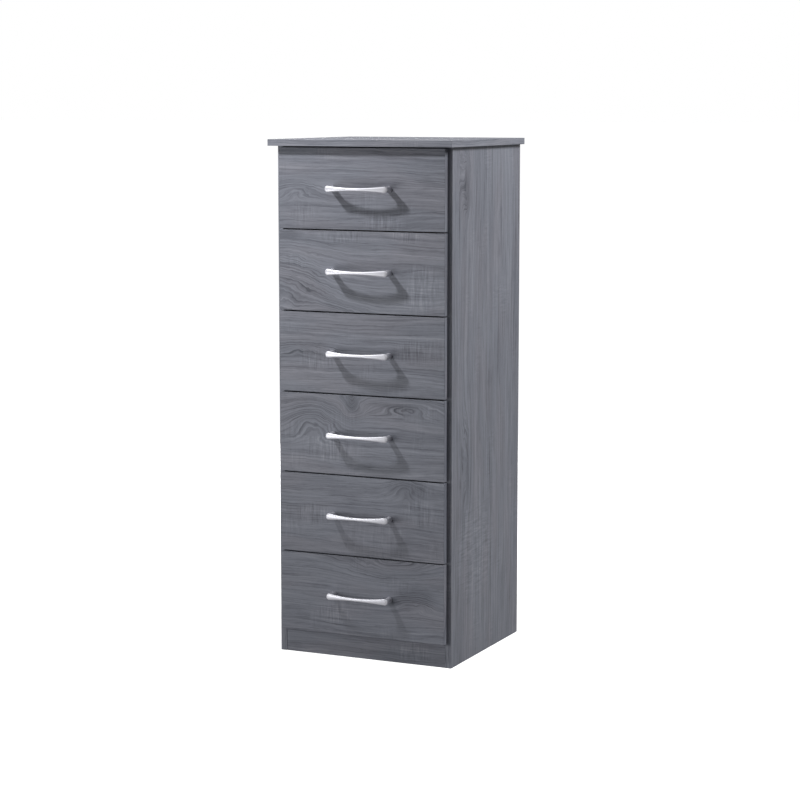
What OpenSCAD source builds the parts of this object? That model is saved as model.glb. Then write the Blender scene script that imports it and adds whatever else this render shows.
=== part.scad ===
// Tall chest of drawers: a board carcass on a plinth with overlay-fronted drawers, each with a bow
// handle and a grooved box that slides on runner strips. Millimetres, +Z up. The origin is on the
// floor under the middle of the chest, and the fronts face -Y.

/* [Carcass] */
// Height from the floor to the upper face of the top
overall_h = 1194; // [1100:1:1300]
// Width over the two side panels
carcass_w = 436; // [400:1:520]
// Depth of the side panels
carcass_d = 400; // [360:1:450]
// Thickness of the carcass boards and the drawer fronts
board_t = 15; // [15:1:18]
// How far the top reaches past each side panel
top_side_overhang = 11; // [0:1:25]
// How far the top reaches in front of the side panels
top_front_overhang = 30; // [18:1:40]
// Height of the plinth
plinth_h = 60; // [50:1:100]
// How far the plinth stands back from the side panels' front edges
plinth_setback = 1; // [0:0.5:5]
// Thickness of the hardboard back and drawer bottoms
hardboard_t = 3; // [3:0.5:5]
// How far the back stands in from the side panels' rear edges
back_inset = 10; // [8:1:20]

/* [Drawer fronts] */
// Number of drawers
drawer_count = 6; // [4:1:6]
// Gap between one front and the next, and above the highest one
front_gap = 3; // [2:0.5:5]
// How far each front stops short of a side panel's outer face
front_side_inset = 11; // [2:1:13]
// Space between a closed front and the carcass behind it
front_standoff = 1; // [0.5:0.5:2]
// How far the lowest front laps over the plinth
plinth_lap = 3; // [1:1:8]

/* [Drawer boxes] */
// Thickness of a box's sides and back
box_t = 12; // [12:1:15]
// Height of a box's lower edge above the lower edge of its front
box_lift = 24; // [20:1:30]
// How far a box's upper edge stays below the upper edge of its front
box_headroom = 30; // [25:1:60]
// Space between a closed box and the back of the carcass
box_rear_gap = 36; // [30:1:60]
// How far a drawer pulls out before its stops meet
travel = 260; // [200:5:260]

/* [Runners] */
// Height of a runner strip
runner_h = 14; // [12:1:16]
// How far a runner strip stands out from its side panel
runner_t = 7; // [6:0.5:7]
// Play between a box and the side panel on each side
side_play = 1.5; // [1:0.5:2]
// Play above a runner in its groove
runner_play = 0.3; // [0.3:0.1:0.5]

/* [Handles] */
// Length of a handle over its rounded ends
handle_l = 156; // [150:2:200]
// Width of a handle's rounded ends
handle_end_w = 15; // [15:1:18]
// Width of a handle at its waist
handle_waist_w = 7; // [6:0.5:10]
// Thickness of the grip, from front to back
grip_t = 8; // [5:0.5:10]
// Distance from a front to the middle of the grip at its ends
grip_end_reach = 24; // [18:1:30]
// How much further out the grip stands at its waist
grip_bow = 8; // [3:0.5:10]
// Radius of a handle's posts
post_r = 7; // [4.5:0.5:7]

/* [Hidden] */
$fn = 96;
arc_fn = 360;        // facets of the long arcs in a handle
eps = 0.01;
fit_gap = 0.1;       // clearance round a piece that sits in its own recess

// Carcass. Depths are measured from the side panels' front edges, towards the back.
handle_reach = grip_end_reach + grip_bow + grip_t / 2;
handle_pitch = handle_l - handle_end_w; // each post stands behind the middle of a round end
front_plane = -(carcass_d - front_standoff - board_t - handle_reach) / 2;
inner_x = carcass_w / 2 - board_t;
top_z = overall_h - board_t;
back_y = carcass_d - back_inset - hardboard_t;
back_groove = 7;
back_low_z = plinth_h - 10;
rail_d = 60;         // both rails under the top

// Drawer fronts, counted from the top
lowest_front_z = plinth_h - plinth_lap;
front_h = (top_z - lowest_front_z - drawer_count * front_gap) / drawer_count;
front_w = carcass_w - 2 * front_side_inset;
front_back_y = -front_standoff;
front_face_y = front_back_y - board_t;

// Drawer boxes
box_h = front_h - box_lift - box_headroom;
box_x = inner_x - side_play;
box_side_l = back_y - box_rear_gap - box_t - front_back_y;
box_back_y = front_back_y + box_side_l;
bottom_rise = 10;    // drawer bottom above the box's lower edge
bottom_groove = 5;

// Runners and the grooves they run in
groove_d = runner_t - side_play + 0.5;
runner_rise = box_h / 2 - 10;
runner_front_y = 12;
runner_l = box_side_l - 40;
lug_drop = 2.2;      // a lug under each runner stops the drawer at full travel
lug_l = 8;
lug_rear_y = box_back_y - travel - 0.6;
lug_play = 0.5;

// Screws, dowels and cam fittings
cam_inset = 24;      // from the joint to the cam's axis
cam_r = 7.5;
cam_h = 12;
small_cam_r = 6;
small_cam_h = 9;
bolt_r = 3;
bolt_bore_r = 3.5;
bolt_thread = 10;
dowel_r = 4;
dowel_in_side = 10;
dowel_in_end = 20;
runner_screw_r = 1.7;
runner_screw_head_r = 3.4;
box_screw_r = 2;
box_screw_head_r = 3.8;
box_screw_l = 35;
handle_screw_r = 2;
handle_screw_head_r = 4;
handle_screw_head_h = 2.4;
handle_screw_depth = 10; // reach into a post

// [depth, height, roll] of the cam joints and dowel joints between a board's end and a side panel.
// Roll turns the cam's open face: 0 down, 90 to the rear, -90 to the front.
bottom_z = plinth_h + board_t / 2;
plinth_y = plinth_setback + board_t / 2;
front_rail_z = top_z - board_t / 2;
back_rail_y = back_y - board_t / 2;
bottom_cams = [[50, bottom_z, 0], [carcass_d - 80, bottom_z, 0]];
bottom_dowels = [[90, bottom_z, 0], [carcass_d - 120, bottom_z, 0]];
plinth_cams = [[plinth_y, 18, 90]];
plinth_dowels = [[plinth_y, 40, 0]];
front_rail_cams = [[18, front_rail_z, 0]];
front_rail_dowels = [[44, front_rail_z, 0]];
back_rail_cams = [[back_rail_y, top_z - 44, -90]];
back_rail_dowels = [[back_rail_y, top_z - 20, 0]];
end_cams = concat(bottom_cams, plinth_cams, front_rail_cams, back_rail_cams);
end_dowels = concat(bottom_dowels, plinth_dowels, front_rail_dowels, back_rail_dowels);
// Depths of the joints between the side panels and the top
top_cam_ys = [80, carcass_d - 60];
top_dowel_ys = [115, carcass_d - 95];
// Depths of the screws in each runner, and heights of a box's fittings above its lower edge
runner_screw_ys = [30, runner_front_y + runner_l / 2, runner_front_y + runner_l - 15];
box_cam_zs = [26, box_h - 24];
box_screw_zs = [28, box_h - 26];

// Colours
oak = [0.47, 0.48, 0.51];
oak_light = [0.55, 0.56, 0.59];
box_grey = [0.78, 0.78, 0.77];
hardboard = [0.62, 0.52, 0.40];
satin_metal = [0.88, 0.89, 0.91];
zinc = [0.70, 0.71, 0.72];
white_plastic = [0.92, 0.92, 0.90];
beech = [0.80, 0.66, 0.45];

DRAWER_PIECES = ["front", "left_side", "right_side", "back", "bottom", "handle",
    "handle_screws", "box_fittings"];

function drawer_node(k, piece) = str("drawer_", k, "_", piece);
function front_z(k) = lowest_front_z + (drawer_count - k) * (front_h + front_gap);
function box_z(k) = front_z(k) + box_lift;
function runner_z(k) = box_z(k) + runner_rise;
function handle_z(k) = front_z(k) + front_h / 2;
// Radius of the arc that rises by `rise` over half its chord
function arc_r(half_chord, rise) = (half_chord * half_chord + rise * rise) / (2 * rise);

// ---- Shared shapes ----

// Moves a piece from the side panels' front edges to its place over the origin
module in_place() {
    translate([0, front_plane, 0]) children();
}

// A block from one corner to the opposite one
module block(low, high) {
    translate(low) cube(high - low);
}

module on_both_sides() {
    for (side = [0, 1]) mirror([side, 0, 0]) children();
}

// A cylinder along X, starting at x
module x_rod(r, x, length) {
    translate([x, 0, 0]) rotate([0, 90, 0]) cylinder(r = r, h = length);
}

// A cylinder along Y, starting at y
module y_rod(r, y, length) {
    translate([0, y, 0]) rotate([-90, 0, 0]) cylinder(r = r, h = length);
}

// A strip along Y with a round front end, lying against the plane x = 0
module strip(thickness, y, length, height) {
    block([0, y + height / 2, -height / 2], [thickness, y + length, height / 2]);
    translate([0, y + height / 2, 0]) x_rod(height / 2, 0, thickness);
}

// ---- Cam fittings and dowels ----
// Their own frame: the joint is the plane x = 0, +X goes into the board that holds the cam, and the
// cam's open face is towards -Z, at a distance of half that board's thickness.

module cam(r, height, thickness) {
    difference() {
        translate([cam_inset, 0, -thickness / 2]) cylinder(r = r - fit_gap, h = height);
        x_rod(bolt_bore_r, 0, cam_inset);
        for (turn = [45, -45])
            translate([cam_inset, 0, -thickness / 2]) rotate([0, 0, turn])
                block([-r * 0.7, -0.8, -1], [r * 0.7, 0.8, 1.6]);
    }
}

module bolt() {
    neck_l = 4;
    x_rod(bolt_r, -bolt_thread, cam_inset + bolt_thread - neck_l);
    x_rod(bolt_r - 1.2, cam_inset - neck_l, neck_l - 2.5);
    x_rod(bolt_r - 0.2, cam_inset - 2.5, 2.3);
}

module cam_and_bolt(r, height, thickness) {
    cam(r, height, thickness);
    bolt();
}

// The recess for a cam and the bore for its bolt
module cam_recess(r, height, thickness) {
    translate([cam_inset, 0, -thickness / 2 - eps]) cylinder(r = r, h = height + fit_gap + eps);
    x_rod(bolt_bore_r, -eps, cam_inset);
}

// The hole that a bolt is screwed into
module bolt_hole() {
    x_rod(bolt_r, -bolt_thread, bolt_thread + eps);
}

module dowel() {
    x_rod(dowel_r - fit_gap / 2, -dowel_in_side, dowel_in_side + dowel_in_end);
}

module dowel_bore() {
    x_rod(dowel_r, -dowel_in_side - fit_gap, dowel_in_side + dowel_in_end + 2 * fit_gap);
}

// Places its children at each end joint of the left side panel
module at_ends(joints) {
    for (joint = joints)
        translate([-inner_x, joint[0], joint[1]]) rotate([joint[2], 0, 0]) children();
}

// Places its children at each joint of the left side panel with the top
module at_top(depths) {
    for (depth = depths)
        translate([-inner_x - board_t / 2, depth, top_z])
            rotate([0, 90, 0]) rotate([180, 0, 0]) children();
}

// ---- Carcass ----

// The left side panel; the right one is its mirror image
module side_board() {
    difference() {
        block([-inner_x - board_t, 0, 0], [-inner_x, carcass_d, top_z]);
        block([-inner_x - back_groove, back_y - fit_gap, -1],
              [-inner_x + 1, back_y + hardboard_t + fit_gap, top_z + 1]);
        at_ends(end_cams) bolt_hole();
        at_ends(end_dowels) dowel_bore();
        at_top(top_cam_ys) cam_recess(cam_r, cam_h, board_t);
        at_top(top_dowel_ys) dowel_bore();
        for (k = [1 : drawer_count], depth = runner_screw_ys)
            translate([-inner_x, depth, runner_z(k)]) x_rod(runner_screw_r, -10.2, 11);
    }
}

module left_side_panel() {
    color(oak) in_place() side_board();
}

module right_side_panel() {
    color(oak) in_place() mirror([1, 0, 0]) side_board();
}

module top_panel() {
    color(oak_light) in_place() difference() {
        block([-carcass_w / 2 - top_side_overhang, -top_front_overhang, top_z],
              [carcass_w / 2 + top_side_overhang, carcass_d, overall_h]);
        on_both_sides() {
            at_top(top_cam_ys) bolt_hole();
            at_top(top_dowel_ys) dowel_bore();
        }
    }
}

// A board between the side panels, with its cams and dowels at both ends
module cross_board(low_y, high_y, low_z, high_z, cams, dowels) {
    difference() {
        block([-inner_x, low_y, low_z], [inner_x, high_y, high_z]);
        on_both_sides() {
            at_ends(cams) cam_recess(cam_r, cam_h, board_t);
            at_ends(dowels) dowel_bore();
        }
    }
}

module bottom_panel() {
    color(oak) in_place()
        cross_board(0, back_y, plinth_h, plinth_h + board_t, bottom_cams, bottom_dowels);
}

module plinth() {
    color(oak) in_place()
        cross_board(plinth_setback, plinth_setback + board_t, 0, plinth_h,
                    plinth_cams, plinth_dowels);
}

module top_front_rail() {
    color(oak) in_place()
        cross_board(0, rail_d, top_z - board_t, top_z, front_rail_cams, front_rail_dowels);
}

module top_back_rail() {
    color(oak) in_place()
        cross_board(back_y - board_t, back_y, top_z - rail_d, top_z,
                    back_rail_cams, back_rail_dowels);
}

module back_panel() {
    reach = inner_x + back_groove - fit_gap;
    color(hardboard) in_place()
        block([-reach, back_y, back_low_z], [reach, back_y + hardboard_t, top_z]);
}

module runner_screw_hole() {
    x_rod(runner_screw_r + 0.2, -1, runner_t + 2);
    translate([runner_t - 2.5, 0, 0]) rotate([0, 90, 0])
        cylinder(r1 = runner_screw_r + 0.2, r2 = runner_screw_head_r + 0.3, h = 2.5 + eps);
}

// One strip on the left side panel, with a lug under it and three countersunk holes
module runner(k) {
    translate([-inner_x, 0, runner_z(k)]) difference() {
        union() {
            strip(runner_t, runner_front_y, runner_l, runner_h);
            block([0, lug_rear_y - lug_l, -runner_h / 2 - lug_drop], [runner_t, lug_rear_y, 0]);
        }
        for (depth = runner_screw_ys) translate([0, depth, 0]) runner_screw_hole();
    }
}

module runners() {
    color(white_plastic) in_place() on_both_sides() for (k = [1 : drawer_count]) runner(k);
}

module runner_screw() {
    x_rod(runner_screw_r, -10, runner_t + 10 - 2.6);
    translate([runner_t - 2.6, 0, 0]) rotate([0, 90, 0])
        cylinder(r1 = runner_screw_r, r2 = runner_screw_head_r, h = 2.4);
}

module runner_screws() {
    color(zinc) in_place() on_both_sides()
        for (k = [1 : drawer_count], depth = runner_screw_ys)
            translate([-inner_x, depth, runner_z(k)]) runner_screw();
}

module cam_fittings() {
    color(zinc) in_place() on_both_sides() {
        at_ends(end_cams) cam_and_bolt(cam_r, cam_h, board_t);
        at_top(top_cam_ys) cam_and_bolt(cam_r, cam_h, board_t);
    }
}

module dowels() {
    color(beech) in_place() on_both_sides() {
        at_ends(end_dowels) dowel();
        at_top(top_dowel_ys) dowel();
    }
}

// ---- Drawers ----

// Places its children at the joints between the left box side and the front. The cams open outwards.
module at_box_cams() {
    for (height = box_cam_zs)
        translate([-box_x + box_t / 2, front_back_y, height]) rotate([0, 0, 90])
            rotate([-90, 0, 0]) children();
}

// Places its children on the axes of the handle's screws, on the drawer's front face
module at_handle_screws(k) {
    for (side = [-1, 1])
        translate([side * handle_pitch / 2, front_face_y, handle_z(k)]) children();
}

// The groove for the drawer bottom, as one slab that reaches into every board round it
module bottom_slab(play) {
    reach = box_x - box_t + bottom_groove - fit_gap + play;
    block([-reach, front_back_y - bottom_groove + fit_gap - play, bottom_rise - play],
          [reach, box_back_y + bottom_groove - fit_gap + play, bottom_rise + hardboard_t + play]);
}

module drawer_front(k) {
    color(oak) in_place() difference() {
        block([-front_w / 2, front_face_y, front_z(k)],
              [front_w / 2, front_back_y, front_z(k) + front_h]);
        translate([0, 0, box_z(k)]) {
            bottom_slab(fit_gap);
            on_both_sides() at_box_cams() bolt_hole();
        }
        at_handle_screws(k) y_rod(handle_screw_r + 0.4, -1, board_t + 2);
    }
}

// The left side of a box: its runner groove is open at the rear end
module box_side(k) {
    translate([0, 0, box_z(k)]) difference() {
        block([-box_x, front_back_y, 0], [-box_x + box_t, box_back_y, box_h]);
        block([-box_x - 1, runner_front_y - 2.5, runner_rise - runner_h / 2 - lug_drop - lug_play],
              [-box_x + groove_d, box_back_y + 1, runner_rise + runner_h / 2 + runner_play]);
        bottom_slab(fit_gap);
        at_box_cams() cam_recess(small_cam_r, small_cam_h, box_t);
        for (height = box_screw_zs)
            translate([-box_x + box_t / 2, 0, height])
                y_rod(box_screw_r, box_back_y + box_t - box_screw_l - 1, box_screw_l);
    }
}

module drawer_left_side(k) {
    color(box_grey) in_place() box_side(k);
}

module drawer_right_side(k) {
    color(box_grey) in_place() mirror([1, 0, 0]) box_side(k);
}

// The back covers the sides' rear ends, and its notches pass the runners but not their lugs
module drawer_back(k) {
    color(box_grey) in_place() translate([0, 0, box_z(k)]) difference() {
        block([-box_x, box_back_y, 0], [box_x, box_back_y + box_t, box_h]);
        bottom_slab(fit_gap);
        on_both_sides() {
            block([-box_x - 1, box_back_y - 1, runner_rise - runner_h / 2 - lug_play],
                  [-box_x + groove_d, box_back_y + box_t + 1,
                   runner_rise + runner_h / 2 + runner_play]);
            for (height = box_screw_zs)
                translate([-box_x + box_t / 2, 0, height]) {
                    y_rod(box_screw_r + 0.2, box_back_y - 1, box_t + 2);
                    y_rod(box_screw_head_r + 0.2, box_back_y + box_t - 2.5, 3);
                }
        }
    }
}

module drawer_bottom(k) {
    color(hardboard) in_place() translate([0, 0, box_z(k)]) bottom_slab(0);
}

// The grip seen from the front: round ends that narrow in two long arcs to the waist
module grip_outline() {
    end_r = handle_end_w / 2;
    end_x = handle_l / 2 - end_r;
    arc = arc_r(end_x, end_r - handle_waist_w / 2);
    for (side = [-1, 1]) translate([side * end_x, 0]) circle(end_r);
    difference() {
        square([2 * end_x, handle_end_w], center = true);
        for (side = [-1, 1]) translate([0, side * (handle_waist_w / 2 + arc)])
            circle(arc, $fn = arc_fn);
    }
}

// The grip seen from above: a band that bows away from the front
module grip_band() {
    half_chord = handle_l / 2;
    arc = arc_r(half_chord, grip_bow);
    centre = grip_end_reach + grip_bow - arc;
    intersection() {
        translate([0, -centre]) difference() {
            circle(arc + grip_t / 2, $fn = arc_fn);
            circle(arc - grip_t / 2, $fn = arc_fn);
        }
        translate([-half_chord, -handle_reach - 1]) square([handle_l, handle_reach]);
    }
}

// Lies with the drawer's face at y = 0 and stands out towards -Y
module handle_body() {
    difference() {
        union() {
            intersection() {
                rotate([90, 0, 0]) linear_extrude(handle_reach + 1) grip_outline();
                translate([0, 0, -handle_end_w]) linear_extrude(2 * handle_end_w) grip_band();
            }
            for (side = [-1, 1])
                translate([side * handle_pitch / 2, 0, 0])
                    y_rod(post_r, -grip_end_reach, grip_end_reach);
        }
        for (side = [-1, 1])
            translate([side * handle_pitch / 2, 0, 0])
                y_rod(handle_screw_r + 0.05, -handle_screw_depth - 1, handle_screw_depth + 2);
    }
}

module drawer_handle(k) {
    color(satin_metal) in_place() translate([0, front_face_y, handle_z(k)]) handle_body();
}

module drawer_handle_screws(k) {
    color(zinc) in_place() at_handle_screws(k) {
        y_rod(handle_screw_r, -handle_screw_depth, handle_screw_depth + board_t + 0.5);
        y_rod(handle_screw_head_r, board_t, handle_screw_head_h);
    }
}

module box_screw() {
    y_rod(box_screw_r, box_back_y + box_t - box_screw_l, box_screw_l - 2.5);
    y_rod(box_screw_head_r, box_back_y + box_t - 2.5, 2.2);
}

// Four small cams with their bolts at the front, and four screws through the back
module drawer_box_fittings(k) {
    color(zinc) in_place() translate([0, 0, box_z(k)]) on_both_sides() {
        at_box_cams() cam_and_bolt(small_cam_r, small_cam_h, box_t);
        for (height = box_screw_zs) translate([-box_x + box_t / 2, 0, height]) box_screw();
    }
}

// ---- The assembly ----

left_side_panel();
right_side_panel();
top_panel();
bottom_panel();
plinth();
top_front_rail();
top_back_rail();
back_panel();
runners();
runner_screws();
cam_fittings();
dowels();
for (k = [1 : drawer_count]) {
    drawer_front(k);
    drawer_left_side(k);
    drawer_right_side(k);
    drawer_back(k);
    drawer_bottom(k);
    drawer_handle(k);
    drawer_handle_screws(k);
    drawer_box_fittings(k);
}
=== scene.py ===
"""Looks of the tall chest of drawers: laminated grey oak boards, bow handles, drawer boxes and fittings."""

import math

import bmesh
import bpy
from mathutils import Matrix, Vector


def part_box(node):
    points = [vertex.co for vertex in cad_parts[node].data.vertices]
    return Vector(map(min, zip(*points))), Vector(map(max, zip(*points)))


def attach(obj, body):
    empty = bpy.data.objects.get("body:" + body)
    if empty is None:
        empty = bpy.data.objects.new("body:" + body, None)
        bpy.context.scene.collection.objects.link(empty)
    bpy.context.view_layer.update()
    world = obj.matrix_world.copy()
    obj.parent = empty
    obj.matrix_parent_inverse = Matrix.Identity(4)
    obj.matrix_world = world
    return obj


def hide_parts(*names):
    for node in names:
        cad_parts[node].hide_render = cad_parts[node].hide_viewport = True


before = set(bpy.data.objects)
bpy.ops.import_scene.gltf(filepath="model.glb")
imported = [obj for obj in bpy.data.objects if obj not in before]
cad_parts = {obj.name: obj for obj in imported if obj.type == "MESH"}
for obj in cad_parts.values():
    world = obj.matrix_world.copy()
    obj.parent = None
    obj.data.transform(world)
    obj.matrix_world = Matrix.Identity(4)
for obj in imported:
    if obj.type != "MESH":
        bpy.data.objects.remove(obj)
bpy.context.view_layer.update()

X, Y, Z = 0, 1, 2
DRAWERS = range(1, 7)

# Board details, in metres
STRIP_T = 0.0008  # edge strip, as seen from the face
ARRIS_R = 0.0006
SIDE_SEAM = 0.104  # from a side panel's front edge to the joint in its foil
LOWEST_LIP = 0.013  # lighter band along the lowest front's lower edge


# ---- Node trees ----

class Shader:
    """A material's node tree, built a step at a time. An input takes a number or another node's output."""

    def __init__(self, name):
        self.material = bpy.data.materials.new(name)
        self.material.use_nodes = True
        self.tree = self.material.node_tree
        self.tree.nodes.clear()
        output = self.tree.nodes.new("ShaderNodeOutputMaterial")
        self.bsdf = self.tree.nodes.new("ShaderNodeBsdfPrincipled")
        self.tree.links.new(self.bsdf.outputs[0], output.inputs["Surface"])
        self.coordinates = self.tree.nodes.new("ShaderNodeTexCoord")

    def put(self, socket, value):
        if isinstance(value, bpy.types.NodeSocket):
            self.tree.links.new(value, socket)
        else:
            socket.default_value = value

    def add(self, kind, inputs, **settings):
        node = self.tree.nodes.new("ShaderNode" + kind)
        for name, value in settings.items():
            setattr(node, name, value)
        for name, value in inputs.items():
            self.put(node.inputs[name], value)
        return node

    def math(self, operation, a, b=0.0, c=0.0):
        return self.add("Math", {0: a, 1: b, 2: c}, operation=operation).outputs[0]

    def axes(self, output="Object"):
        split = self.add("SeparateXYZ", {0: self.coordinates.outputs[output]})
        return [split.outputs[axis] for axis in (X, Y, Z)]

    def point(self, x, y, z=0.0):
        return self.add("CombineXYZ", {0: x, 1: y, 2: z}).outputs[0]

    def noise(self, point, detail=2.0, roughness=0.5, scale=1.0, distortion=0.0):
        return self.add("TexNoise", {"Vector": point, "Scale": scale, "Detail": detail, "Roughness": roughness,
                                     "Distortion": distortion}).outputs["Fac"]

    def between(self, value, low, high, to_low=0.0, to_high=1.0):
        """Smoothly from to_low, at and below low, to to_high, at and above high."""
        return self.add("MapRange", {"Value": value, "From Min": low, "From Max": high, "To Min": to_low,
                                     "To Max": to_high}, interpolation_type="SMOOTHSTEP").outputs[0]

    def mix(self, factor, a, b):
        return self.add("Mix", {0: factor, 2: a, 3: b}, data_type="FLOAT").outputs[0]

    def ramp(self, value, stops):
        node = self.add("ValToRGB", {"Fac": value})
        elements = node.color_ramp.elements
        while len(elements) < len(stops):
            elements.new(0.5)
        for element, (place, colour) in zip(elements, stops):
            element.position = place
            element.color = (*colour, 1.0)
        return node.outputs["Color"]

    def bump(self, height, distance, strength=1.0):
        node = self.add("Bump", {"Height": height, "Distance": distance, "Strength": strength})
        self.put(self.bsdf.inputs["Normal"], node.outputs[0])

    def finish(self, **values):
        for name, value in values.items():
            self.put(self.bsdf.inputs[name.replace("_", " ")], value)
        return self.material


# ---- Grey oak laminate ----

OAK_TONES = [
    (0.00, (0.018, 0.020, 0.027)),
    (0.28, (0.072, 0.077, 0.095)),
    (0.52, (0.148, 0.155, 0.185)),
    (0.76, (0.226, 0.235, 0.273)),
    (1.00, (0.345, 0.355, 0.400)),
]


def grey_oak(name, along, across, low, high, seed, hills=(), sawn=(), dark=(), seam=None, light_below=None):
    """Printed oak foil on board. The grain runs along one axis and its lines follow each other across another.

    Places on the foil are (along, across, half length, half width): where saw marks lie across the grain, and
    where the wood is darker. A hill has a fifth number, the distance that the grain's lines swerve by there; more
    than its half width closes the lines to an eye. Two planks with different wood meet at the seam.
    """
    s = Shader(name)
    normal_axis = 3 - along - across
    place, facing = s.axes(), s.axes("Normal")
    on_end = s.math("GREATER_THAN", s.math("ABSOLUTE", facing[along]), 0.5)
    on_side = s.math("GREATER_THAN", s.math("ABSOLUTE", facing[across]), 0.5)
    on_edge = s.math("MAXIMUM", on_end, on_side)
    # The edge strips have the same wood, which runs along each strip
    u = s.mix(on_end, place[along], place[across])
    v = s.mix(on_edge, place[across], s.math("ADD", place[normal_axis], 0.31))

    def stretched(u_scale, v_scale, v_value, offset):
        return s.point(s.math("MULTIPLY", u, u_scale), s.math("MULTIPLY", v_value, v_scale), offset)

    def away(at_u, at_v, half_u, half_v):
        """Squared distance from a place, in units of its half sizes."""
        du = s.math("DIVIDE", s.math("SUBTRACT", u_bent, at_u), half_u)
        dv = s.math("DIVIDE", s.math("SUBTRACT", v_bent, at_v), half_v)
        return s.math("MULTIPLY_ADD", du, du, s.math("MULTIPLY", dv, dv))

    def within(at_u, at_v, half_u, half_v, core):
        """1 in an oval's core and 0 outside it."""
        return s.between(s.math("SQRT", away(at_u, at_v, half_u, half_v)), core, 1.1, 1.0, 0.0)

    # Slow waves in the grain, and planks that each come from another part of the tree
    wave = s.noise(stretched(2.2, 8.0, v, seed), detail=1.0)
    ripple = s.noise(stretched(9.0, 30.0, v, seed + 7.3), detail=3.0, roughness=0.6)
    curl = s.noise(stretched(26.0, 34.0, v, seed + 8.9), detail=2.0, roughness=0.55)
    u_bent = s.math("MULTIPLY_ADD", s.math("SUBTRACT", curl, 0.5), 0.035, u)
    v_bent = s.math("MULTIPLY_ADD", s.math("SUBTRACT", wave, 0.5), 0.040, v)
    v_bent = s.math("MULTIPLY_ADD", s.math("SUBTRACT", ripple, 0.5), 0.012, v_bent)
    plank = s.add("TexVoronoi", {"W": s.math("ADD", v, seed * 0.37), "Scale": 7.5, "Randomness": 0.8},
                  voronoi_dimensions="1D").outputs["Color"]
    plank = s.add("SeparateColor", {0: plank})
    plank_a, plank_b = plank.outputs[0], plank.outputs[1]

    line = v_bent
    figured = s.math("MULTIPLY", s.between(wave, 0.55, 0.70), 0.3)
    for *spot, rise in hills:
        hill = s.math("EXPONENT", s.math("MULTIPLY", away(*spot), -1.0))
        line = s.math("MULTIPLY_ADD", hill, -rise, line)
        figured = s.math("MAXIMUM", figured, s.between(hill, 0.08, 0.50))
    line = s.math("MULTIPLY_ADD", s.math("MULTIPLY", s.math("SUBTRACT", curl, 0.5), figured), 0.014, line)
    seeded = s.math("MULTIPLY_ADD", plank_a, 9.0, seed)
    if seam is not None:
        seeded = s.math("ADD", seeded, s.between(v, seam - 0.0003, seam + 0.0003, 0.0, 21.0))

    broad = s.noise(stretched(1.5, 28.0, line, seeded), detail=2.0)
    streak = s.noise(stretched(3.6, 140.0, line, seeded), detail=4.0, roughness=0.66)
    fibre = s.noise(stretched(12.0, 520.0, line, seeded), detail=3.0, roughness=0.7)
    grain_line = s.noise(stretched(3.4, 250.0, line, s.math("ADD", seeded, 3.7)), detail=2.0, roughness=0.6)
    grain_line = s.between(grain_line, 0.52, 0.66)
    dash = s.noise(stretched(17.0, 300.0, line, s.math("ADD", seeded, 6.1)), detail=2.0, roughness=0.6)
    dash = s.between(dash, 0.56, 0.70)
    ring_shift = s.noise(stretched(4.0, 20.0, line, seed + 2.1), detail=2.0)
    ring = s.math("FRACT", s.math("MULTIPLY_ADD", line, 150.0, s.math("MULTIPLY", ring_shift, 3.0)))
    ring = s.math("MULTIPLY", s.between(ring, 0.30, 0.90), s.between(ring, 0.90, 1.0, 1.0, 0.0))
    ring_strength = s.noise(stretched(6.0, 70.0, line, seed + 5.5), detail=1.0)
    ring = s.math("MULTIPLY", ring, s.between(ring_strength, 0.34, 0.62))
    pore = s.noise(stretched(70.0, 1500.0, line, seed + 4.0), detail=1.0)
    pore = s.between(pore, 0.60, 0.74)

    # Marks of the saw, short and across the grain, in patches
    patch = s.noise(stretched(9.0, 13.0, v, seed + 11.0), detail=1.0)
    patch = s.between(patch, 0.55, 0.70, 0.0, 0.55)
    for spot in sawn:
        patch = s.math("MAXIMUM", patch, within(*spot, 0.45))
    cut = s.noise(stretched(210.0, 20.0, v, seed + 17.0), detail=3.0, roughness=0.7)
    cut = s.math("MULTIPLY", s.math("SUBTRACT", cut, 0.47), patch)
    shade = s.noise(stretched(10.0, 34.0, line, seed + 13.0), detail=2.0)
    shade = s.between(shade, 0.58, 0.72, 0.0, 0.5)
    for spot in dark:
        shade = s.math("MAXIMUM", shade, within(*spot, 0.25))
    shade = s.math("MULTIPLY", shade, s.between(streak, 0.36, 0.56, 0.25, 1.0))

    tone = s.math("MULTIPLY_ADD", s.math("SUBTRACT", broad, 0.5), 0.30, 0.665)
    tone = s.math("MULTIPLY_ADD", s.math("SUBTRACT", streak, 0.5), 0.66, tone)
    tone = s.math("MULTIPLY_ADD", s.math("SUBTRACT", fibre, 0.5), 0.46, tone)
    tone = s.math("MULTIPLY_ADD", s.math("SUBTRACT", plank_b, 0.5), 0.06, tone)
    tone = s.math("SUBTRACT", tone, s.math("MULTIPLY", grain_line, 0.15))
    tone = s.math("SUBTRACT", tone, s.math("MULTIPLY", dash, 0.11))
    tone = s.math("SUBTRACT", tone, s.math("MULTIPLY", ring, s.math("MULTIPLY_ADD", figured, 0.19, 0.04)))
    tone = s.math("SUBTRACT", tone, s.math("MULTIPLY", pore, 0.10))
    tone = s.math("MULTIPLY_ADD", cut, 0.80, tone)
    tone = s.math("SUBTRACT", tone, s.math("MULTIPLY", shade, 0.20))

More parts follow.
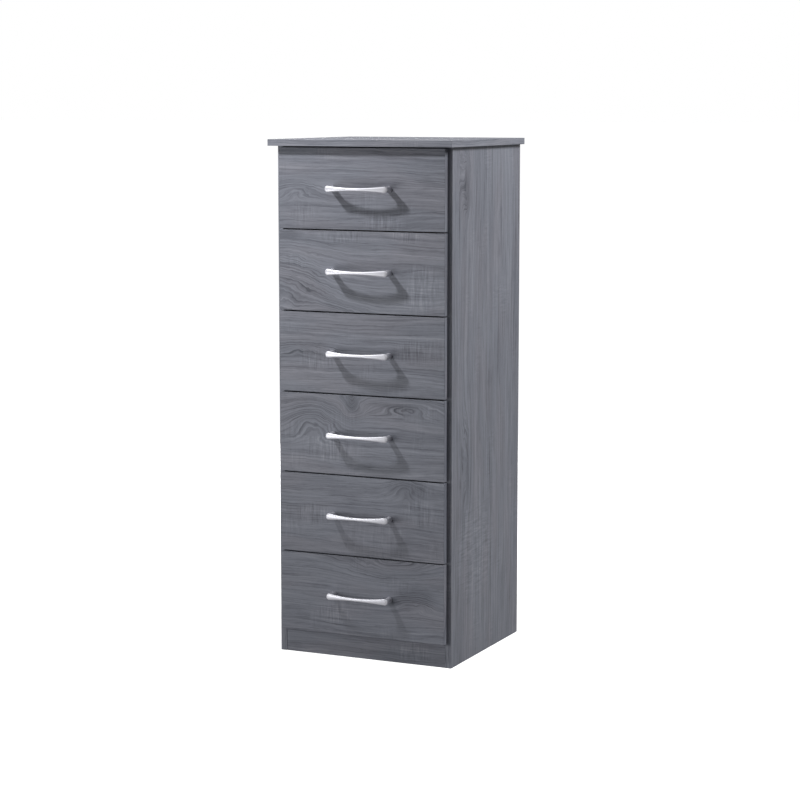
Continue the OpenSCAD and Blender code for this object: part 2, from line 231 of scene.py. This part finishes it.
    # The edge strips and the edge faces are painted a shade lighter, a painted highlight along the lit edges, with a
    # dark hairline where the strips meet the face
    to_edge = s.math("MINIMUM",
                     s.math("MINIMUM", s.math("SUBTRACT", place[along], low[along]),
                            s.math("SUBTRACT", high[along], place[along])),
                     s.math("MINIMUM", s.math("SUBTRACT", place[across], low[across]),
                            s.math("SUBTRACT", high[across], place[across])))
    painted_highlight_strip = s.between(to_edge, STRIP_T - 0.0001, STRIP_T + 0.0001, 1.0, 0.0)
    joint = s.between(s.math("ABSOLUTE", s.math("SUBTRACT", to_edge, STRIP_T)), 0.00005, 0.00022, 1.0, 0.0)
    joint = s.math("MULTIPLY", joint, s.math("SUBTRACT", 1.0, on_edge))
    # Painted highlight: the thin strip along each face's outline and the board's edge faces are lifted a shade lighter
    tone = s.math("MULTIPLY_ADD", s.math("MAXIMUM", painted_highlight_strip, on_edge), 0.05, tone)
    tone = s.math("SUBTRACT", tone, s.math("MULTIPLY", joint, 0.22))
    if light_below is not None:
        tone = s.math("ADD", tone, s.between(place[across], light_below - 0.0004, light_below + 0.0004, 0.05, 0.0))

    # Some of the wood is a little warmer than the rest
    warm = s.noise(stretched(5.0, 16.0, line, seed + 19.0), detail=1.0)
    tint = s.ramp(s.between(warm, 0.40, 0.66), [(0.0, (0.99, 1.0, 1.005)), (1.0, (1.02, 1.0, 0.995))])
    colour = s.add("Mix", {0: 1.0, 6: s.ramp(tone, OAK_TONES), 7: tint}, data_type="RGBA",
                   blend_type="MULTIPLY").outputs[2]
    height = s.math("SUBTRACT", s.math("MULTIPLY", fibre, 0.4), s.math("MULTIPLY", pore, 0.8))
    height = s.math("SUBTRACT", height, s.math("MULTIPLY", joint, 0.8))
    s.bump(height, 0.00012)
    roughness = s.math("MULTIPLY_ADD", pore, 0.10, s.math("MULTIPLY_ADD", fibre, 0.10, 0.46))
    return s.finish(Base_Color=colour, Roughness=roughness, Specular_IOR_Level=0.30)


# ---- Other materials ----

def mottled(name, base, spread, scale, roughness, bump=0.0, **finish):
    """A surface in one colour with a fine, even mottle."""
    s = Shader(name)
    fine = s.noise(s.coordinates.outputs["Object"], detail=3.0, roughness=0.7, scale=scale)
    wide = s.noise(s.coordinates.outputs["Object"], detail=1.0, scale=scale / 25)
    tone = s.math("MULTIPLY_ADD", wide, 0.4, s.math("MULTIPLY", fine, 0.6))
    colour = s.ramp(tone, [(0.30, [c * (1 - spread) for c in base]), (0.70, [min(c * (1 + spread), 1) for c in base])])
    if bump:
        s.bump(fine, bump)
    rough = s.math("MULTIPLY_ADD", s.math("SUBTRACT", fine, 0.5), 0.16, roughness)
    return s.finish(Base_Color=colour, Roughness=rough, **finish)


def brushed_metal(name, base, along, roughness, metallic):
    """Metal with fine brush lines along one axis. Below 1, metallic gives it a pearly coat."""
    s = Shader(name)
    place = s.axes()
    stretched = [s.math("MULTIPLY", c, 40.0 if axis == along else 2600.0) for axis, c in enumerate(place)]
    lines = s.noise(s.point(*stretched), detail=2.0)
    cloud = s.noise(s.coordinates.outputs["Object"], detail=2.0, scale=60.0)
    colour = s.ramp(s.math("MULTIPLY_ADD", cloud, 0.5, s.math("MULTIPLY", lines, 0.5)),
                    [(0.3, [c * 0.94 for c in base]), (0.7, base)])
    s.bump(lines, 0.00001)
    rough = s.math("MULTIPLY_ADD", s.math("SUBTRACT", lines, 0.5), 0.12, roughness)
    return s.finish(Base_Color=colour, Roughness=rough, Metallic=metallic)


def fibreboard(name, base):
    """Hardboard: a smooth brown face with short pressed fibres in every direction."""
    s = Shader(name)
    place = s.axes()
    one = s.noise(s.point(s.math("MULTIPLY", place[X], 900.0), s.math("MULTIPLY", place[Y], 180.0),
                          s.math("MULTIPLY", place[Z], 300.0)), detail=3.0, roughness=0.7, distortion=1.2)
    other = s.noise(s.point(s.math("MULTIPLY", place[X], 160.0), s.math("MULTIPLY", place[Y], 800.0),
                            s.math("MULTIPLY", place[Z], 700.0)), detail=3.0, roughness=0.7, distortion=1.2)
    wide = s.noise(s.coordinates.outputs["Object"], detail=2.0, scale=9.0)
    tone = s.math("MULTIPLY_ADD", wide, 0.3, s.math("MULTIPLY", s.math("ADD", one, other), 0.35))
    colour = s.ramp(tone, [(0.30, [c * 0.62 for c in base]), (0.55, base), (0.75, [c * 1.28 for c in base])])
    s.bump(s.math("ADD", one, other), 0.00006)
    return s.finish(Base_Color=colour, Roughness=s.math("MULTIPLY_ADD", one, 0.2, 0.5))


box_board = mottled("box_board", (0.56, 0.56, 0.55), 0.035, 900.0, 0.52, bump=0.00002)
hardboard = fibreboard("hardboard", (0.30, 0.205, 0.125))
runner_plastic = mottled("runner_plastic", (0.78, 0.78, 0.76), 0.03, 500.0, 0.38)
zinc = mottled("zinc", (0.62, 0.63, 0.65), 0.10, 1500.0, 0.34, bump=0.00001, Metallic=1.0)
beech = mottled("beech", (0.55, 0.38, 0.21), 0.15, 700.0, 0.6)
handle_metal = brushed_metal("handle_metal", (0.63, 0.63, 0.68), X, 0.42, metallic=0.5)


# ---- Boards ----

def fine_board(node, body, material):
    """The CAD board with its outer arrises rounded by a small radius."""
    low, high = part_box(node)
    mesh = bmesh.new()
    mesh.from_mesh(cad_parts[node].data)
    bmesh.ops.remove_doubles(mesh, verts=mesh.verts, dist=1e-6)

    def walls(vertex):
        return {(axis, side) for axis in (X, Y, Z) for side, wall in enumerate((low, high))
                if abs(vertex.co[axis] - wall[axis]) < 1e-5}

    arrises = [e for e in mesh.edges if len(walls(e.verts[0]) & walls(e.verts[1])) == 2]
    bmesh.ops.bevel(mesh, geom=arrises, offset=ARRIS_R, offset_type="OFFSET", segments=3, profile=0.5,
                    affect="EDGES", clamp_overlap=True)
    bmesh.ops.recalc_face_normals(mesh, faces=mesh.faces)
    data = bpy.data.meshes.new(node + "_board")
    mesh.to_mesh(data)
    mesh.free()
    data.materials.append(material)
    board = bpy.data.objects.new(node + "_board", data)
    bpy.context.scene.collection.objects.link(board)
    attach(board, body)
    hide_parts(node)
    return board


def board_in_oak(node, body, along, across, seed, **figure):
    low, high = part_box(node)
    material = grey_oak("oak_" + node, along, across, low, high, seed, **figure)
    return fine_board(node, body, material)


# What each front's foil shows, top to bottom, measured from the front's middle
FRONT_FIGURES = [
    dict(hills=[(-0.160, -0.004, 0.060, 0.024, 0.024)], seam=-0.011, sawn=[(0.055, -0.078, 0.06, 0.025)],
         dark=[(0.040, 0.008, 0.09, 0.010)]),
    dict(hills=[(-0.215, -0.020, 0.130, 0.080, 0.062), (-0.080, -0.095, 0.060, 0.030, 0.026)],
         dark=[(-0.190, 0.078, 0.05, 0.022)],
         sawn=[(-0.045, 0.075, 0.07, 0.02), (0.150, -0.035, 0.055, 0.06), (0.110, 0.078, 0.05, 0.02)]),
    dict(hills=[(-0.150, 0.010, 0.060, 0.018, 0.014)], dark=[(0.130, 0.000, 0.08, 0.02)],
         sawn=[(-0.110, -0.015, 0.06, 0.03), (0.140, 0.010, 0.07, 0.035)]),
    dict(hills=[(-0.125, 0.030, 0.060, 0.045, 0.046), (-0.025, 0.080, 0.024, 0.040, -0.046),
                (0.110, 0.078, 0.075, 0.020, 0.034)],
         dark=[(-0.022, 0.074, 0.025, 0.030), (0.090, 0.080, 0.07, 0.010)], sawn=[(-0.080, -0.030, 0.08, 0.035)]),
    dict(hills=[(0.110, 0.075, 0.035, 0.025, 0.028)], dark=[(0.130, 0.068, 0.07, 0.03)],
         sawn=[(-0.125, 0.000, 0.06, 0.03), (0.150, 0.020, 0.05, 0.04), (0.150, 0.070, 0.04, 0.02)]),
    dict(hills=[(0.075, 0.080, 0.110, 0.040, -0.058), (0.130, 0.000, 0.05, 0.03, 0.018)],
         sawn=[(-0.070, -0.045, 0.05, 0.03)], dark=[(-0.05, 0.084, 0.09, 0.012), (0.13, 0.010, 0.08, 0.03)]),
]

for k, figure in zip(DRAWERS, FRONT_FIGURES):
    node = f"drawer_{k}_front"
    low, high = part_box(node)
    middle = (low.z + high.z) / 2
    placed = {kind: middle + spots if kind == "seam" else [(u, middle + v, *sizes) for u, v, *sizes in spots]
              for kind, spots in figure.items()}
    if k == 6:
        placed["light_below"] = low.z + LOWEST_LIP
    board_in_oak(node, f"drawer_{k}", X, Z, seed=1.7 * k, **placed)

board_in_oak("plinth", "carcass", X, Z, seed=23.0, sawn=[(0.12, 0.03, 0.06, 0.03)])
board_in_oak("top_panel", "carcass", X, Y, seed=31.0)
for node, seed in (("left_side_panel", 41.0), ("right_side_panel", 47.0)):
    low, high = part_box(node)
    seam = low.y + SIDE_SEAM
    board_in_oak(node, "carcass", Z, Y, seed=seed, seam=seam,
                 hills=[(1.12, seam - 0.030, 0.050, 0.030, 0.040), (1.06, seam - 0.018, 0.030, 0.020, 0.030),
                        (0.46, seam - 0.012, 0.110, 0.030, 0.034)],
                 dark=[(0.45, seam - 0.015, 0.12, 0.014), (1.08, seam - 0.025, 0.08, 0.020)],
                 sawn=[(0.25, low.y + 0.13, 0.14, 0.12)])
board_in_oak("bottom_panel", "carcass", X, Y, seed=53.0)
board_in_oak("top_front_rail", "carcass", X, Y, seed=59.0)
board_in_oak("top_back_rail", "carcass", X, Z, seed=61.0)


# ---- Handles ----

def bow_handle_mesh(low, high):
    """A grip with round ends and a thin waist that bows away from the front, on two round posts.

    Built about the middle of its box: x along the grip, -y away from the front, which is at y = 0.
    """
    length, reach, end_w = high.x - low.x, high.y - low.y, high.z - low.z
    half_l, end_r = length / 2, end_w / 2
    waist, thick, bow = 0.0035, 0.004, 0.008  # half the waist's width, half the grip's depth, the bow's height
    post_r, foot_r = 0.0067, 0.0070
    fillet_rise, fillet_from, fillet_length = 0.007, 0.044, 0.020
    straight = half_l - end_r
    side_arc = (straight ** 2 + (end_r - waist) ** 2) / (2 * (end_r - waist))
    bow_arc = (half_l ** 2 + bow ** 2) / (2 * bow)
    mesh = bmesh.new()

    def grip_ring(x, count=40):
        past = max(abs(x) - straight, 0.0) / end_r
        if past > 0:
            half_w = end_r * math.sqrt(max(1 - past ** 2, 0.0))
        else:
            half_w = waist + side_arc - math.sqrt(side_arc ** 2 - x ** 2)
        half_t = thick * (1 - past ** 4) ** 0.5
        centre = -(reach - thick) + bow_arc - math.sqrt(bow_arc ** 2 - x ** 2)
        # On the inside the grip thickens towards each post, and ends within it
        rise = min(max((abs(x) - fillet_from) / fillet_length, 0.0), 1.0)
        fillet = fillet_rise * rise ** 2.2 if abs(x) < straight - 0.004 else 0.0
        ring = []
        for i in range(count):
            turn = 2 * math.pi * i / count
            c, s = math.cos(turn), math.sin(turn)
            y = centre + half_t * math.copysign(abs(s) ** 0.72, s) + fillet * max(s, 0.0) ** 1.5
            z = half_w * math.copysign(abs(c) ** 0.82, c)
            ring.append(mesh.verts.new((x, y, z)))
        return ring

    def skin(rings, closed_ends):
        for a, b in zip(rings, rings[1:]):
            for i in range(len(a)):
                j = (i + 1) % len(a)
                mesh.faces.new((a[i], a[j], b[j], b[i]))
        for end in closed_ends:
            mesh.faces.new(end)

    stations = [half_l * math.sin(math.pi / 2 * i / 40) for i in range(-40, 41)]
    stations = [math.copysign(min(abs(x), half_l - 2e-5), x) for x in stations]
    rings = [grip_ring(x) for x in stations]
    skin(rings, (rings[0], rings[-1]))

    # Each post: a foot with a small chamfer against the front, a straight shank and a flare into the grip
    for side in (-1, 1):
        x = side * straight
        under = -(reach - thick) + bow_arc - math.sqrt(bow_arc ** 2 - x ** 2) + thick
        profile = [(0.0000, post_r), (-0.0003, foot_r), (-0.0030, foot_r), (-0.0060, post_r), (-0.0140, post_r)]
        for i in range(1, 5):
            profile.append((-0.0140 + (under + 0.0130) * i / 4, post_r + 0.0004 * (i / 4) ** 2))
        rings = [[mesh.verts.new((x + r * math.cos(2 * math.pi * i / 40), y, r * math.sin(2 * math.pi * i / 40)))
                  for i in range(40)] for y, r in profile]
        skin(rings, (rings[0], rings[-1]))

    bmesh.ops.recalc_face_normals(mesh, faces=mesh.faces)
    data = bpy.data.meshes.new("bow_handle")
    mesh.to_mesh(data)
    mesh.free()
    data.shade_smooth()
    data.set_sharp_from_angle(angle=math.radians(50))
    data.materials.append(handle_metal)
    return data


handle_mesh = bow_handle_mesh(*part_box("drawer_1_handle"))
for k in DRAWERS:
    low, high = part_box(f"drawer_{k}_handle")
    handle = bpy.data.objects.new(f"drawer_{k}_bow_handle", handle_mesh)
    handle.location = ((low.x + high.x) / 2, high.y, (low.z + high.z) / 2)
    bpy.context.scene.collection.objects.link(handle)
    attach(handle, f"drawer_{k}")
    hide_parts(f"drawer_{k}_handle")


# ---- CAD pieces that keep their shape ----

def paint(node, material):
    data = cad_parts[node].data
    data.materials.clear()
    data.materials.append(material)


for k in DRAWERS:
    for piece in ("left_side", "right_side", "back"):
        paint(f"drawer_{k}_{piece}", box_board)
    paint(f"drawer_{k}_bottom", hardboard)
    paint(f"drawer_{k}_handle_screws", zinc)
    paint(f"drawer_{k}_box_fittings", zinc)
paint("back_panel", hardboard)
paint("runners", runner_plastic)
paint("runner_screws", zinc)
paint("cam_fittings", zinc)
paint("dowels", beech)


# ---- Floor, light and camera ----

def studio_level(tree, seen, gloss, lit):
    """A number with one value for the eye, another for reflections and another for light that falls on the object."""
    path = tree.nodes.new("ShaderNodeLightPath")
    level = lit
    for ray, value in (("Is Glossy Ray", gloss), ("Is Camera Ray", seen)):
        span = tree.nodes.new("ShaderNodeMapRange")
        tree.links.new(path.outputs[ray], span.inputs["Value"])
        if isinstance(level, bpy.types.NodeSocket):
            tree.links.new(level, span.inputs["To Min"])
        else:
            span.inputs["To Min"].default_value = level
        span.inputs["To Max"].default_value = value
        level = span.outputs[0]
    return level


floor_shader = Shader("floor")
floor_tone = floor_shader.noise(floor_shader.coordinates.outputs["Object"], scale=2.0)
floor_tone = floor_shader.math("MULTIPLY", floor_shader.between(floor_tone, 0.0, 1.0, 0.97, 1.0),
                               studio_level(floor_shader.tree, 0.90, 0.30, 0.20))
floor_material = floor_shader.finish(Base_Color=floor_tone, Roughness=0.9, Specular_IOR_Level=0.1,
                                     Emission_Color=(1.0, 1.0, 1.0, 1.0),
                                     Emission_Strength=studio_level(floor_shader.tree, 0.93, 0.45, 0.0))
floor_material.cycles.emission_sampling = "NONE"
floor_mesh = bmesh.new()
bmesh.ops.create_grid(floor_mesh, x_segments=1, y_segments=1, size=120.0)
floor_data = bpy.data.meshes.new("floor")
floor_mesh.to_mesh(floor_data)
floor_mesh.free()
floor_data.materials.append(floor_material)
floor = bpy.data.objects.new("floor", floor_data)
floor.location.z = -0.0005
bpy.context.scene.collection.objects.link(floor)


def lamp(name, kind, place, target, energy, **settings):
    data = bpy.data.lights.new(name, kind)
    data.energy = energy
    for key, value in settings.items():
        setattr(data, key, value)
    light = bpy.data.objects.new(name, data)
    light.location = place
    light.rotation_euler = (Vector(target) - Vector(place)).to_track_quat("-Z", "Y").to_euler()
    bpy.context.scene.collection.objects.link(light)
    return light


lamp("key", "SPOT", (-1.10, -0.95, 2.30), (0.00, -0.20, 1.05), 163, shadow_soft_size=0.08,
     spot_size=math.radians(46), spot_blend=1.0)
lamp("side_fill", "AREA", (2.6, 0.5, 2.9), (0.2, 0.1, 1.0), 99, shape="RECTANGLE", size=1.2, size_y=1.0)
lamp("front_card", "AREA", (-1.1, -1.6, 0.35), (0.0, -0.2, 0.30), 18, shape="RECTANGLE", size=1.8, size_y=0.9)
lamp("back_fill", "AREA", (-1.8, 2.6, 0.75), (0.0, 0.2, 0.6), 45, shape="RECTANGLE", size=1.6, size_y=1.2)

world = bpy.data.worlds.new("studio")
world.use_nodes = True
background = world.node_tree.nodes["Background"]
background.inputs["Color"].default_value = (1.0, 1.0, 1.0, 1.0)
world.node_tree.links.new(studio_level(world.node_tree, 1.0, 0.60, 0.10), background.inputs["Strength"])
world.cycles.sampling_method = "NONE"
bpy.context.scene.world = world
bpy.context.scene.view_settings.view_transform = "Standard"

camera_data = bpy.data.cameras.new("camera")
camera_data.sensor_width = 36
camera_data.lens = 101.25
camera = bpy.data.objects.new("camera", camera_data)
camera.location = (2.211, -4.752, 1.281)
camera.rotation_euler = (math.radians(90 - 7.58), 0, math.radians(24.86))
bpy.context.scene.collection.objects.link(camera)
bpy.context.scene.camera = camera
